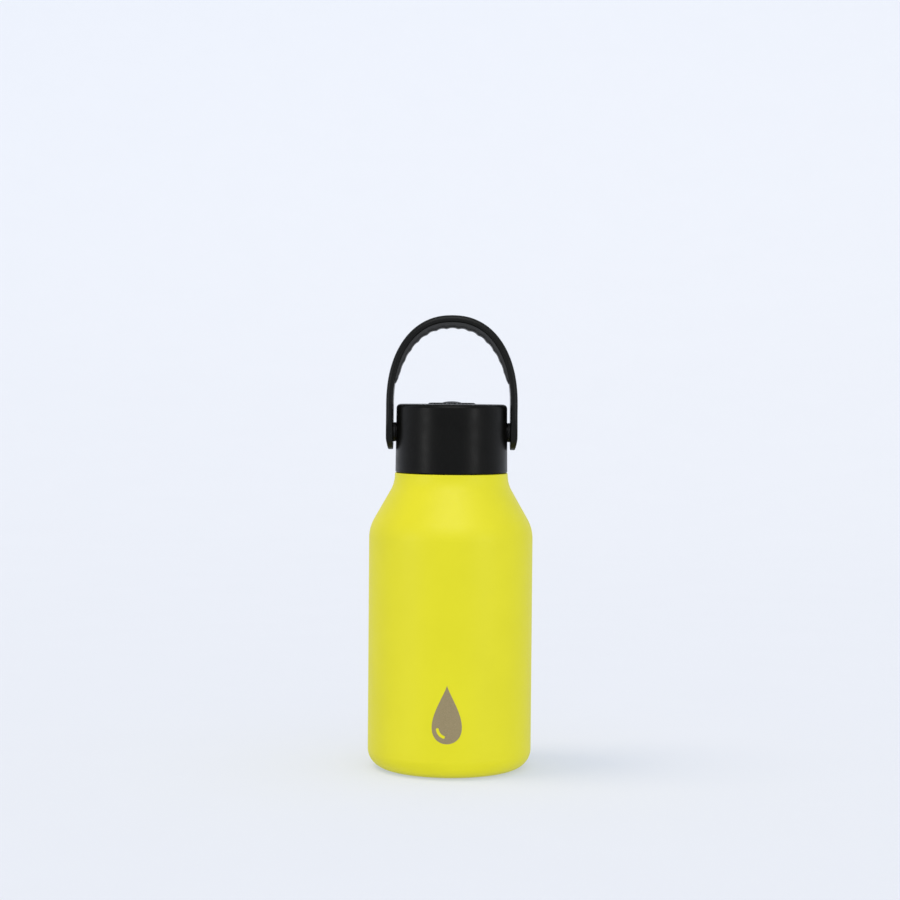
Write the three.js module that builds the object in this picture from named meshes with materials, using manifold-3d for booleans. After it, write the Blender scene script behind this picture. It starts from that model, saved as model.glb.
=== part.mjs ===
// A child's vacuum flask with a screw lid and a bail handle, in millimetres, +Z up.
// The origin is the centre of the foot, the handle pivots on an axis along X, and the front faces -Y.
import * as THREE from 'three';
import { mergeVertices } from 'three/addons/utils/BufferGeometryUtils.js';
import Module from 'manifold-3d';

const wasm = await Module();
wasm.setup();

// ---------------------------------------------------------------- driving dimensions

const TURN = 2 * Math.PI;
const fitGap = 0.3; // clearance left between neighbouring pieces
const overlap = 0.4; // how far pieces that are to be joined run into each other
const roundSides = 36; // facets round the large turned pieces
const smallSides = 20; // facets round the small turned pieces

// outer wall
const bodyRadius = 35;
const wall = 0.5;
const footCornerRadius = 8;
const footLandWidth = 2;
const shoulderZ = 98.1; // where the straight side ends
const shoulderRadius = 16.9; // convex curve at the top of the side
const shoulderSlope = THREE.MathUtils.degToRad(29.55); // cone half angle
const hollowRadius = 13.7; // concave curve under the ledge
const ledgeReveal = 0.2; // how far the ledge stands out past the lid
const ledgeLand = 0.75; // straight stretch between the concave curve and the ledge
const neckRadius = 19.6;
const neckHeight = 8.3; // from the ledge to the edge of the outer wall

// vacuum space and base
const vacuumGap = 2.8;
const baseRimWidth = 0.5;
const baseRecess = 2.4;
const dimpleRadius = 6;
const dimpleHeight = 1.2;
const portRadius = 0.8;
const coverThickness = 0.5;
const beadRadius = 2.2;
const beadHeight = 0.7;
const getterRadius = 4;
const getterHeight = 1.6;
const clipThickness = 0.4;

// inner wall
const linerFloorRise = 1.2; // from the getter clip up to the liner's floor
const linerCornerRadius = 5;
const linerHollowRadius = 9;
const linerLap = 5; // overlap of the liner and its base cup
const lipHeight = 0.5;

// two-start screw thread
const threadStarts = 2;
const threadLead = 8; // rise in one whole turn
const threadDepth = 0.9;
const threadRootWidth = 1.7;
const threadCrestWidth = 0.8;
const threadStepsPerTurn = 36;
const threadLowLand = 1.35; // plain stretch between the ledge and the neck's thread
const threadHighLand = 0.45; // plain stretch between the thread and the neck's edge

// lid cover
const lidTaper = 0.3; // how much narrower the cover is at its top
const lidWall = 1.65;
const lidTopThickness = 2;
const lidEdgeRadius = 1.8;

// lid inside
const skirtRise = 1; // the thread skirt starts this far above the lid's lower edge
const skirtWall = 1.2;
const gasketHeight = 2;
const innerPlateThickness = 1.4;
const plugClearance = 0.7;
const plugDepth = 8.5; // below the lip
const plugWall = 1.2;
const plugFloor = 1.3;
const bossRadius = 3.4;
const bossHoleFloor = 2.5;

// screw and badge
const screwShankRadius = 1.4;
const screwHeadRadius = 2.9;
const screwHeadHeight = 1.4;
const screwLength = 14;
const screwThreadPitch = 1.5;
const screwThreadDepth = 0.35;
const screwWellDepth = 2.1;
const hubRadius = 5.2;
const hubThickness = 1.6;
const badgeRadius = 10.45;
const badgeRecess = 1;
const badgeDomeRadius = 5.2;
const badgeDomeRise = 1.24; // above the lid's top
const badgeRingInnerRadius = 6.6;
const badgeRingRise = 0.6;
const badgeFlutes = 30;
const badgeFluteWidth = 0.9;

// handle and pivots
const pivotDrop = 12; // from the lid's top down to the pivot axis
const padRadius = 4.1;
const padRise = 0.1; // how far the pad's flat face stands out past the cover
const padInnerRadius = 3.4;
const padInnerRise = 0.5;
const padToPlate = 0.85; // from the inner cap's plate up to the inner pads
const washerThickness = 0.5;
const pinRadius = 2;
const pinHeadRadius = 4.1;
const pinHeadThickness = 1.15;
const pinBarbStep = 0.8;
const pinBarbLength = 1.6;
const pinSlot = 0.8;
const strapThickness = 3;
const strapWidth = 15;
const archHeight = 38.3; // from the widest place to the top
const archRise = 11.5; // from the pivot axis up to the widest place
const archPower = 2.22; // 2 is an ellipse, more is squarer
const archSteps = 36;
const eyeTaper = 0.9; // the strap's outer face draws in by this at its end
const eyeTaperLength = 5;
const gripInset = 0.8; // strap left bare on either side of the grip
const gripThickness = 2.3; // at the top of the arch
const gripEndThickness = 0.5;
const gripRibs = 15;
const gripScallop = 0.4; // depth of the hollows between ribs, at the top of the arch
const gripStepsPerRib = 3;
const gripEndRise = 9.5; // height of the grip's ends above the arch's widest place

// ---------------------------------------------------------------- sizes that follow

const skirtBore = neckRadius + threadDepth + fitGap;
const lidRadius = skirtBore + skirtWall + fitGap + lidWall;
const ledgeRadius = lidRadius + ledgeReveal;
const ledgeZ =
  shoulderTop(bodyRadius, shoulderRadius, shoulderZ, ledgeRadius, hollowRadius) + ledgeLand;
const neckTopZ = ledgeZ + neckHeight;
const lipTopZ = neckTopZ + fitGap + lipHeight;
const neckThreadRise = threadLowLand + threadRootWidth / 2;
const threadTravel = neckHeight - neckThreadRise - threadRootWidth / 2 - threadHighLand;

const baseRimR = bodyRadius - footCornerRadius - footLandWidth - fitGap;
const getterZ = baseRecess + wall + fitGap;
const getterOffset = (dimpleRadius + baseRimR) / 2;
const clipHeight = getterHeight + 2 * fitGap + clipThickness;
const linerFloorZ = getterZ + clipHeight + linerFloorRise;
const vacuumOffset = wall + vacuumGap; // from the outer face to the liner's outer face
const linerRadius = bodyRadius - vacuumOffset;
const linerShoulderRadius = shoulderRadius - vacuumOffset;
const linerNeckRadius = neckRadius - wall - fitGap;
const mouthRadius = linerNeckRadius - wall;

// The liner's shoulder ends just under the ledge's wall.
const linerShoulderZ =
  shoulderZ +
  (ledgeZ - wall - fitGap) -
  shoulderTop(linerRadius, linerShoulderRadius, shoulderZ, linerNeckRadius, linerHollowRadius);

const lidBaseZ = ledgeZ + fitGap;
const skirtZ = lidBaseZ + skirtRise;
const gasketZ = lipTopZ + fitGap;
const plateZ = gasketZ + gasketHeight + fitGap;
const plateTopZ = plateZ + innerPlateThickness;
const plugRadius = mouthRadius - plugClearance;
const plugZ = lipTopZ - plugDepth;
const plugFloorZ = plugZ + plugFloor;
const pivotZ = plateTopZ + padToPlate + padInnerRadius;
const lidTopZ = pivotZ + pivotDrop;
const lidDraft = lidTaper / (lidTopZ - lidBaseZ);
const recessZ = lidTopZ - badgeRecess;
const wellZ = recessZ - screwWellDepth;
const hubZ = wellZ - hubThickness;
const bossTopZ = hubZ - fitGap;

const padReach = lidFace(pivotZ) + padRise;
const padInnerReach = lidFace(pivotZ) - lidWall - padInnerRise;
const washerReach = padReach + fitGap;
const strapReach = washerReach + washerThickness + fitGap;
const pinBore = pinRadius + fitGap;
const eyeRadius = strapWidth / 2;
const archHalfWidth = strapReach + strapThickness;
const archZ = pivotZ + archRise;
const gripReach = strapThickness + fitGap; // from the arch's outer line to the grip

// Distance from the axis to the lid cover's outer face at height z.
function lidFace(z) {
  return lidRadius - (z - lidBaseZ) * lidDraft;
}

// Height at which a shoulder of these curves reaches its neck radius.
function shoulderTop(...sizes) {
  const path = shoulder(...sizes);
  return path[path.length - 1].y;
}

// ---------------------------------------------------------------- outlines

// Points of an arc in the half plane (radius, z), angles in radians from the outward direction.
function arc(centreR, centreZ, radius, fromAngle, toAngle, steps) {
  const points = [];
  for (let i = 0; i <= steps; i += 1) {
    const angle = fromAngle + ((toAngle - fromAngle) * i) / steps;
    points.push(
      new THREE.Vector2(centreR + radius * Math.cos(angle), centreZ + radius * Math.sin(angle)),
    );
  }
  return points;
}

// Side to neck: a convex arc, a cone and a concave arc that ends upright at topRadius.
function shoulder(sideRadius, convexRadius, startZ, topRadius, concaveRadius) {
  const convex = arc(sideRadius - convexRadius, startZ, convexRadius, 0, shoulderSlope, 3);
  const coneStart = convex[convex.length - 1];
  const coneEndR = topRadius + concaveRadius * (1 - Math.cos(shoulderSlope));
  const coneEndZ = coneStart.y + (coneStart.x - coneEndR) / Math.tan(shoulderSlope);
  const concaveZ = coneEndZ + concaveRadius * Math.sin(shoulderSlope);
  const concaveR = topRadius + concaveRadius;
  const half = TURN / 2;
  return [...convex, ...arc(concaveR, concaveZ, concaveRadius, half + shoulderSlope, half, 3)];
}

function corners(...pairs) {
  return pairs.map(([r, z]) => new THREE.Vector2(r, z));
}

// ---------------------------------------------------------------- solids

// Turns a closed outline (radius, z), given counter-clockwise, about the Z axis.
function turned(points, sides = roundSides) {
  const first = points[0];
  const last = points[points.length - 1];
  const onAxis = first.x === 0 && last.x === 0;
  const outline = onAxis ? points : [...points, first.clone()];
  return new THREE.LatheGeometry(outline, sides).rotateX(TURN / 4);
}

// The same outline turned about an axis along X through the pivot height.
function turnedAboutPivot(points, sides = smallSides) {
  return turned(points, sides).rotateY(TURN / 4).translate(0, 0, pivotZ);
}

function disc(radius, lowZ, highZ, sides = smallSides) {
  return turned(corners([0, lowZ], [radius, lowZ], [radius, highZ], [0, highZ]), sides);
}

function block(sizeX, sizeY, sizeZ, x, y, z) {
  return new THREE.BoxGeometry(sizeX, sizeY, sizeZ).translate(x, y, z);
}

// A helical ridge on a cylinder. It stands out from baseRadius to crestRadius, on either side,
// and its two ends run out to nothing.
function helicalRidge(baseRadius, crestRadius, lowZ, startAngle) {
  const turns = threadTravel / threadLead;
  const steps = Math.ceil(turns * threadStepsPerTurn);
  const positions = [];
  for (let i = 0; i <= steps; i += 1) {
    const angle = startAngle + (i / steps) * turns * TURN;
    const middleZ = lowZ + (i / steps) * threadTravel;
    const ending = i === 0 || i === steps;
    const crest = ending ? baseRadius + (crestRadius - baseRadius) * 0.3 : crestRadius;
    const section = [
      [baseRadius, -threadRootWidth / 2],
      [crest, -threadCrestWidth / 2],
      [crest, threadCrestWidth / 2],
      [baseRadius, threadRootWidth / 2],
    ];
    for (const [r, dz] of section) {
      positions.push(r * Math.cos(angle), r * Math.sin(angle), middleZ + dz);
    }
  }
  const faces = [];
  const inward = crestRadius < baseRadius;
  const face = (a, b, c) => (inward ? faces.push(a, c, b) : faces.push(a, b, c));
  for (let i = 0; i < steps; i += 1) {
    for (let k = 0; k < 4; k += 1) {
      const here = 4 * i + k;
      const next = 4 * i + ((k + 1) % 4);
      face(here, here + 4, next);
      face(next, here + 4, next + 4);
    }
  }
  const end = 4 * steps;
  face(0, 1, 2);
  face(0, 2, 3);
  face(end, end + 2, end + 1);
  face(end, end + 3, end + 2);
  const geometry = new THREE.BufferGeometry();
  geometry.setAttribute('position', new THREE.Float32BufferAttribute(positions, 3));
  geometry.setIndex(faces);
  return geometry;
}

function threads(baseRadius, crestRadius, lowZ, startAngle) {
  const ridges = [];
  for (let start = 0; start < threadStarts; start += 1) {
    const angle = startAngle + (start / threadStarts) * TURN;
    ridges.push(helicalRidge(baseRadius, crestRadius, lowZ, angle));
  }
  return ridges;
}

function solidOf(geometry) {
  const bare = geometry.clone();
  bare.deleteAttribute('normal');
  bare.deleteAttribute('uv');
  const merged = mergeVertices(bare, 1e-4);
  return new wasm.Manifold(
    new wasm.Mesh({
      numProp: 3,
      vertProperties: new Float32Array(merged.attributes.position.array),
      triVerts: new Uint32Array(merged.index.array),
    }),
  );
}

// Joins the added geometries to the first one, then cuts the others from it.
function shaped(geometry, added, cut) {
  let solid = solidOf(geometry);
  for (const other of added) solid = solid.add(solidOf(other));
  for (const other of cut) solid = solid.subtract(solidOf(other));
  return geometryOf(solid);
}

function common(geometry, other) {
  return geometryOf(solidOf(geometry).intersect(solidOf(other)));
}

function geometryOf(solid) {
  const { vertProperties, triVerts } = solid.getMesh();
  const geometry = new THREE.BufferGeometry();
  geometry.setAttribute('position', new THREE.BufferAttribute(vertProperties, 3));
  geometry.setIndex(new THREE.BufferAttribute(triVerts, 1));
  geometry.computeVertexNormals();
  return geometry;
}

// The left pivot is the right one turned half round the lid's axis.
function atLeft(geometry) {
  return geometry.clone().rotateZ(TURN / 2);
}

// ---------------------------------------------------------------- bottle

function outerShell() {
  const innerShoulder = shoulder(
    bodyRadius - wall,
    shoulderRadius - wall,
    shoulderZ,
    ledgeRadius - wall,
    hollowRadius + wall,
  );
  const footR = bodyRadius - footCornerRadius;
  const landEnd = footR - footLandWidth;
  const quarter = TURN / 4;
  const outline = [
    ...corners([landEnd, 0]),
    ...arc(footR, footCornerRadius, footCornerRadius, -quarter, 0, 3),
    ...shoulder(bodyRadius, shoulderRadius, shoulderZ, ledgeRadius, hollowRadius),
    ...corners(
      [ledgeRadius, ledgeZ],
      [neckRadius, ledgeZ],
      [neckRadius, neckTopZ],
      [neckRadius - wall, neckTopZ],
      [neckRadius - wall, ledgeZ - wall],
      [ledgeRadius - wall, ledgeZ - wall],
    ),
    ...innerShoulder.reverse(),
    ...arc(footR, footCornerRadius, footCornerRadius - wall, 0, -quarter, 3),
    ...corners([landEnd, wall]),
  ];
  const crest = neckRadius + threadDepth;
  const neckThreads = threads(neckRadius - overlap / 2, crest, ledgeZ + neckThreadRise, 0);
  return shaped(turned(outline), neckThreads, []);
}

function outerBase() {
  const rimInnerR = baseRimR - baseRimWidth;
  const outline = corners(
    [portRadius, baseRecess + dimpleHeight],
    [dimpleRadius, baseRecess],
    [rimInnerR, baseRecess],
    [rimInnerR, 0],
    [baseRimR, 0],
    [baseRimR, baseRecess + wall],
    [dimpleRadius, baseRecess + wall],
    [portRadius, baseRecess + dimpleHeight + wall],
  );
  return turned(outline);
}

function baseCover() {
  const top = baseRecess - fitGap;
  return disc(baseRimR - baseRimWidth - fitGap, top - coverThickness, top, roundSides);
}

function sealBead() {
  const low = baseRecess + dimpleHeight + wall + fitGap;
  const outline = corners([0, low], [beadRadius, low], [beadRadius * 0.7, low + beadHeight * 0.7]);
  return turned([...outline, ...corners([0, low + beadHeight])], smallSides);
}

// A strip bent into a bridge over the pill, open along Y.
function getterClip() {
  const inside = clipHeight - clipThickness;
  const width = 2 * (getterRadius + fitGap);
  const outerWidth = width + 2 * clipThickness;
  const middleZ = getterZ + clipHeight / 2;
  const outer = block(outerWidth, getterRadius, clipHeight, getterOffset, 0, middleZ);
  const tunnelHeight = inside + overlap;
  const tunnelZ = getterZ + inside - tunnelHeight / 2;
  const tunnel = block(width, 2 * getterRadius, tunnelHeight, getterOffset, 0, tunnelZ);
  return shaped(outer, [], [tunnel]);
}

function getter() {
  const low = getterZ + fitGap;
  return disc(getterRadius, low, low + getterHeight).translate(getterOffset, 0, 0);
}

function innerLiner() {
  const innerShoulder = shoulder(
    linerRadius - wall,
    linerShoulderRadius - wall,
    linerShoulderZ,
    mouthRadius,
    linerHollowRadius + wall,
  );
  const outerShoulder = shoulder(
    linerRadius,
    linerShoulderRadius,
    linerShoulderZ,
    linerNeckRadius,
    linerHollowRadius,
  );
  const lowZ = linerFloorZ + linerCornerRadius;
  const outline = [
    ...corners([linerRadius, lowZ]),
    ...outerShoulder,
    ...corners(
      [linerNeckRadius, neckTopZ + fitGap],
      [neckRadius, neckTopZ + fitGap],
      [neckRadius, lipTopZ],
      [mouthRadius, lipTopZ],
    ),
    ...innerShoulder.reverse(),
    ...corners([linerRadius - wall, lowZ]),
  ];
  return turned(outline);
}

function innerBase() {
  const rimR = linerRadius - wall - fitGap;
  const cornerR = rimR - linerCornerRadius;
  const cornerZ = linerFloorZ + linerCornerRadius;
  const rimZ = cornerZ + linerLap;
  const quarter = TURN / 4;
  const outline = [
    ...corners([0, linerFloorZ]),
    ...arc(cornerR, cornerZ, linerCornerRadius, -quarter, 0, 3),
    ...corners([rimR, rimZ], [rimR - wall, rimZ]),
    ...arc(cornerR, cornerZ, linerCornerRadius - wall, 0, -quarter, 3),
    ...corners([0, linerFloorZ + wall]),
  ];
  return turned(outline);
}

// ---------------------------------------------------------------- lid

function lidGasket() {
  const outerR = skirtBore - fitGap;
  const innerR = plugRadius + fitGap;
  const topZ = gasketZ + gasketHeight;
  return turned(corners([innerR, gasketZ], [outerR, gasketZ], [outerR, topZ], [innerR, topZ]));
}

function pad(radius, fromReach, toReach) {
  return turnedAboutPivot(
    corners([0, fromReach], [radius, fromReach], [radius, toReach], [0, toReach]),
  );
}

function lidCap() {
  const ceilingZ = lidTopZ - lidTopThickness;
  const edgeZ = lidTopZ - lidEdgeRadius;
  const edgeR = lidFace(edgeZ) - lidEdgeRadius;
  const recessR = badgeRadius + fitGap;
  const wellR = screwHeadRadius + fitGap;
  const holeR = screwShankRadius + fitGap;
  const outline = [
    ...corners([holeR, hubZ], [hubRadius, hubZ], [hubRadius, ceilingZ]),
    ...corners([lidFace(ceilingZ) - lidWall, ceilingZ], [lidRadius - lidWall, lidBaseZ]),
    ...corners([lidRadius, lidBaseZ]),
    ...arc(edgeR, edgeZ, lidEdgeRadius, 0, TURN / 4, 3),
    ...corners([recessR, lidTopZ], [recessR, recessZ], [wellR, recessZ], [wellR, wellZ]),
    ...corners([holeR, wellZ]),
  ];
  const wallMiddle = lidFace(pivotZ) - lidWall / 2;
  const outerPad = pad(padRadius, wallMiddle, padReach);
  const innerPad = pad(padInnerRadius, padInnerReach, wallMiddle);
  const bore = pad(pinBore, padInnerReach - overlap, padReach + overlap);
  const pads = [outerPad, innerPad, atLeft(outerPad), atLeft(innerPad)];
  return shaped(turned(outline), pads, [bore, atLeft(bore)]);
}

function lidInnerCap() {
  const skirtFace = (z) => lidFace(z) - lidWall - fitGap;
  const cupR = plugRadius - plugWall;
  const holeR = screwShankRadius + fitGap;
  const holeFloorZ = plugZ + bossHoleFloor;
  const outline = [
    ...corners([0, plugZ], [plugRadius, plugZ], [plugRadius, plateZ], [skirtBore, plateZ]),
    ...corners([skirtBore, skirtZ], [skirtFace(skirtZ), skirtZ]),
    ...corners([skirtFace(plateTopZ), plateTopZ], [cupR, plateTopZ], [cupR, plugFloorZ]),
    ...corners([bossRadius, plugFloorZ], [bossRadius, bossTopZ], [holeR, bossTopZ]),
    ...corners([holeR, holeFloorZ], [0, holeFloorZ]),
  ];
  // The lid's thread lies half way between the turns of the neck's thread.
  const halfPitch = threadLead / threadStarts / 2;
  const lowZ = skirtZ + threadRootWidth / 2 + fitGap;
  const risenFromNeck = lowZ - (ledgeZ + neckThreadRise - halfPitch);
  const startAngle = (risenFromNeck / threadLead) * TURN;
  const ridges = threads(skirtBore + overlap, neckRadius + fitGap, lowZ, startAngle);
  return shaped(turned(outline), ridges, []);
}

function lidFoam() {
  const outerR = plugRadius - plugWall - fitGap;
  const innerR = bossRadius + fitGap;
  const lowZ = plugFloorZ + fitGap;
  const highZ = hubZ - fitGap;
  return turned(corners([innerR, lowZ], [outerR, lowZ], [outerR, highZ], [innerR, highZ]));
}

function lidScrew() {
  const seatZ = wellZ + fitGap;
  const topZ = seatZ + screwHeadHeight;
  const tipZ = seatZ - screwLength;
  const coreR = screwShankRadius - screwThreadDepth;
  const pairs = [[0, tipZ], [coreR, tipZ + coreR]];
  const turns = Math.floor((screwLength - hubThickness - coreR) / screwThreadPitch);
  for (let i = 0; i < turns; i += 1) {
    const z = tipZ + coreR + i * screwThreadPitch;
    pairs.push([screwShankRadius, z + screwThreadPitch / 2], [coreR, z + screwThreadPitch]);
  }
  pairs.push([screwShankRadius, seatZ - hubThickness], [screwShankRadius, seatZ]);
  pairs.push([screwHeadRadius, seatZ], [screwHeadRadius, topZ - screwHeadHeight / 2]);
  pairs.push([screwHeadRadius * 0.7, topZ], [0, topZ]);
  const slotLength = screwHeadRadius * 1.2;
  const slotWidth = screwHeadRadius * 0.25;
  const along = block(slotLength, slotWidth, screwHeadHeight, 0, 0, topZ);
  const across = block(slotWidth, slotLength, screwHeadHeight, 0, 0, topZ);
  return shaped(turned(corners(...pairs), 12), [], [along, across]);
}

function topBadge() {
  const lowZ = recessZ + fitGap;
  const ringZ = lidTopZ + badgeRingRise;
  const ridgeZ = lidTopZ + badgeRingRise / 2;
  const plateau = lidTopZ + badgeRingRise / 3;
  const outline = corners(
    [0, lowZ],
    [badgeRadius, lowZ],
    [badgeRadius, plateau],
    [badgeDomeRadius, plateau],
    [badgeDomeRadius, ridgeZ],
    [badgeDomeRadius * 0.75, lidTopZ + badgeDomeRise * 0.75],
    [badgeDomeRadius * 0.4, lidTopZ + badgeDomeRise * 0.95],
    [0, lidTopZ + badgeDomeRise],
  );
  const fluteLength = badgeRadius - fitGap - badgeRingInnerRadius;
  const flutes = [];
  for (let i = 0; i < badgeFlutes; i += 1) {
    const middleR = badgeRingInnerRadius + fluteLength / 2;
    const height = ringZ - lidTopZ;
    const flute = block(fluteLength, badgeFluteWidth, height, middleR, 0, ringZ - height / 2);
    flutes.push(flute.rotateZ((i / badgeFlutes) * TURN));
  }
  return shaped(turned(outline), flutes, []);
}

// ---------------------------------------------------------------- pivots

function pivotWasher() {
  const far = washerReach + washerThickness;
  return turnedAboutPivot(
    corners([pinBore, washerReach], [padRadius, washerReach], [padRadius, far], [pinBore, far]),
  );
}

function pivotPin() {
  const outerFace = archHalfWidth - fitGap / 2;
  const seat = outerFace - pinHeadThickness;
  const barbFace = padInnerReach - fitGap;
  const tip = barbFace - pinBarbLength;
  const outline = corners(
    [0, tip],
    [pinRadius, tip],
    [pinRadius + pinBarbStep, barbFace],
    [pinRadius, barbFace],
    [pinRadius, seat],
    [pinHeadRadius, seat],
    [pinHeadRadius, outerFace - fitGap],
    [pinHeadRadius - fitGap, outerFace],
    [0, outerFace],
  );
  const slotLength = pinBarbLength + lidWall;
  const slot = block(slotLength, 2 * pinHeadRadius, pinSlot, tip + slotLength / 2 - overlap, 0, pivotZ);
  return shaped(turnedAboutPivot(outline), [], [slot]);
}

// ---------------------------------------------------------------- handle

// The arch's line at a distance inside its outer line, from the right side over the top.
class ArchCurve extends THREE.Curve {
  constructor(inset, endRise) {
    super();
    this.inset = inset;
    this.start = Math.asin((endRise / (archHeight - inset)) ** (archPower / 2));
  }

  getPoint(t, target = new THREE.Vector2()) {
    const angle = this.start + t * (TURN / 2 - 2 * this.start);
    const across = Math.abs(Math.cos(angle)) ** (2 / archPower) * Math.sign(Math.cos(angle));
    const up = Math.abs(Math.sin(angle)) ** (2 / archPower);
    const x = (archHalfWidth - this.inset) * across;
    const z = archZ + (archHeight - this.inset) * up;
    return target.set(x, z);
  }
}

// Extrudes an outline in the XZ plane to a width along Y, centred on Y = 0.
function extrudedAlongY(points, width) {
  const shape = new THREE.Shape(points);
  const geometry = new THREE.ExtrudeGeometry(shape, { depth: width, bevelEnabled: false });
  return geometry.translate(0, 0, -width / 2).rotateX(TURN / 4);
}

function handleBail() {
  const legEndZ = pivotZ - eyeRadius;
  const taperZ = legEndZ + eyeTaperLength;
  const outerArch = new ArchCurve(0, 0).getSpacedPoints(archSteps);
  const innerArch = new ArchCurve(strapThickness, 0).getSpacedPoints(archSteps);
  const outline = [
    ...corners([strapReach, legEndZ], [archHalfWidth - eyeTaper, legEndZ], [archHalfWidth, taperZ]),
    ...outerArch,
    ...corners([-archHalfWidth, taperZ], [eyeTaper - archHalfWidth, legEndZ]),
    ...corners([-strapReach, legEndZ]),
    ...innerArch.reverse(),
  ];
  const strap = extrudedAlongY(outline, strapWidth);

  // Seen from the side the strap has parallel edges and a round end about the pivot.
  const side = new THREE.Shape();
  const topZ = archZ + archHeight + overlap;
  side.moveTo(eyeRadius, topZ);
  side.lineTo(-eyeRadius, topZ);
  side.lineTo(-eyeRadius, pivotZ);
  side.absarc(0, pivotZ, eyeRadius, TURN / 2, TURN, false);
  const reach = 2 * (archHalfWidth + overlap);
  const sideSolid = new THREE.ExtrudeGeometry(side, {
    depth: reach,
    bevelEnabled: false,
    curveSegments: 12,
  });
  // The side view's first axis becomes Y and its second becomes Z.
  sideSolid.translate(0, 0, -reach / 2).rotateX(TURN / 4).rotateZ(TURN / 4);

  const counterbore = archHalfWidth - pinHeadThickness - 1.5 * fitGap;
  const hole = pad(pinBore, strapReach - overlap, archHalfWidth + overlap);
  const headWell = pad(pinHeadRadius + fitGap, counterbore, archHalfWidth + overlap);
  const bail = common(strap, sideSolid);
  return shaped(bail, [], [hole, headWell, atLeft(hole), atLeft(headWell)]);
}

function handleGrip() {
  const steps = gripRibs * gripStepsPerRib;
  const outer = new ArchCurve(gripReach, gripEndRise).getSpacedPoints(steps);
  const inner = outer.map((point, i) => {
    const before = outer[Math.max(i - 1, 0)];
    const after = outer[Math.min(i + 1, steps)];
    const along = after.clone().sub(before).normalize();
    const towardsCentre = new THREE.Vector2(-along.y, along.x);
    const fromTop = Math.abs((2 * i) / steps - 1);
    const full = gripThickness + (gripEndThickness - gripThickness) * fromTop ** 2;
    const scallop = gripScallop * (full / gripThickness);
    const hollow = scallop * Math.abs(Math.sin((Math.PI * i) / gripStepsPerRib));
    return point.clone().addScaledVector(towardsCentre, full - hollow);
  });
  return extrudedAlongY([...outer, ...inner.reverse()], strapWidth - 2 * gripInset);
}

// ---------------------------------------------------------------- materials and assembly

function material(color, roughness, metalness = 0) {
  return () => new THREE.MeshStandardMaterial({ color, roughness, metalness });
}

const yellowCoat = material(0xdcd834, 0.55);
const bareSteel = material(0xb9bab8, 0.35, 1);
const solderGlass = material(0x6b4a2e, 0.2);
const getterMetal = material(0x7d7a74, 0.7, 0.6);
const blackPlastic = material(0x1b1b1a, 0.5);
const innerPlastic = material(0x232323, 0.6);
const darkGrip = material(0x3f4040, 0.75);
const blackRubber = material(0x151515, 0.8);
const clearSilicone = material(0xd9dad5, 0.45);
const whiteFoam = material(0xf2f2ee, 0.95);

function part(name, geometry, makeMaterial) {
  const mesh = new THREE.Mesh(geometry, makeMaterial());
  mesh.name = name;
  return mesh;
}

const bottle = new THREE.Group();
bottle.add(
  part('outer_shell', outerShell(), yellowCoat),
  part('outer_base', outerBase(), yellowCoat),
  part('base_cover', baseCover(), yellowCoat),
  part('seal_bead', sealBead(), solderGlass),
  part('getter_clip', getterClip(), bareSteel),
  part('getter', getter(), getterMetal),
  part('inner_liner', innerLiner(), bareSteel),
  part('inner_base', innerBase(), bareSteel),
);

const lid = new THREE.Group();
lid.add(
  part('lid_gasket', lidGasket(), clearSilicone),
  part('lid_cap', lidCap(), blackPlastic),
  part('lid_inner_cap', lidInnerCap(), innerPlastic),
  part('lid_foam', lidFoam(), whiteFoam),
  part('lid_screw', lidScrew(), bareSteel),
  part('top_badge', topBadge(), blackPlastic),
  part('right_washer', pivotWasher(), blackRubber),
  part('left_washer', atLeft(pivotWasher()), blackRubber),
  part('right_pivot_pin', pivotPin(), blackPlastic),
  part('left_pivot_pin', atLeft(pivotPin()), blackPlastic),
);

const handle = new THREE.Group();
handle.add(
  part('handle_bail', handleBail(), blackPlastic),
  part('handle_grip', handleGrip(), darkGrip),
);

const waterBottle = new THREE.Group();
waterBottle.add(bottle, lid, handle);

export default waterBottle;
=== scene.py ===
import math
from bisect import bisect_right

import bmesh
import bpy
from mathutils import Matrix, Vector


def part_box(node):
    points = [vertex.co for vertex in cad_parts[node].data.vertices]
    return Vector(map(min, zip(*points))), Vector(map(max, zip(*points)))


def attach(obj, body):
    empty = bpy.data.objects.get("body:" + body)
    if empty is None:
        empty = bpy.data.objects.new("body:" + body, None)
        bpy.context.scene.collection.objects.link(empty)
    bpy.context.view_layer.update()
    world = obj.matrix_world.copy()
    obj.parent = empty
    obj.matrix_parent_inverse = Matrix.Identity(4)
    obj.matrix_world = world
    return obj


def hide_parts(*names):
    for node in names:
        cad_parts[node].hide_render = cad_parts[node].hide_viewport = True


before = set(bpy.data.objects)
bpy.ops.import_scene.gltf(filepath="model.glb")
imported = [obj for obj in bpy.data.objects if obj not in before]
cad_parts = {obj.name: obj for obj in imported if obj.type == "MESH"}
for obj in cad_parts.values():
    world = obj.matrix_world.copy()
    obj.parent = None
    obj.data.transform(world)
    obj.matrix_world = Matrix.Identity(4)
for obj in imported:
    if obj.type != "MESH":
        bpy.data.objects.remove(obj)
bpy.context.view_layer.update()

MM = 0.001
TURN = 2 * math.pi
HALF = TURN / 2
QUARTER = TURN / 4


def span(node):
    """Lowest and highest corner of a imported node, in millimetres."""
    low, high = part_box(node)
    return low / MM, high / MM


# ---------------------------------------------------------------- places taken from the frame

shell_high = span("outer_shell")[1]
liner_high = span("inner_liner")[1]
cup_low = span("inner_base")[0]
pan_high = span("outer_base")[1]
cover_low, cover_high = span("base_cover")
lid_low, lid_high = span("lid_cap")
moulding_low, moulding_high = span("lid_inner_cap")
gasket_low, gasket_high = span("lid_gasket")
badge_low, badge_high = span("top_badge")
washer_low, washer_high = span("right_washer")
pin_low, pin_high = span("right_pivot_pin")
bail_high = span("handle_bail")[1]
grip_low, grip_high = span("handle_grip")

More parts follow.
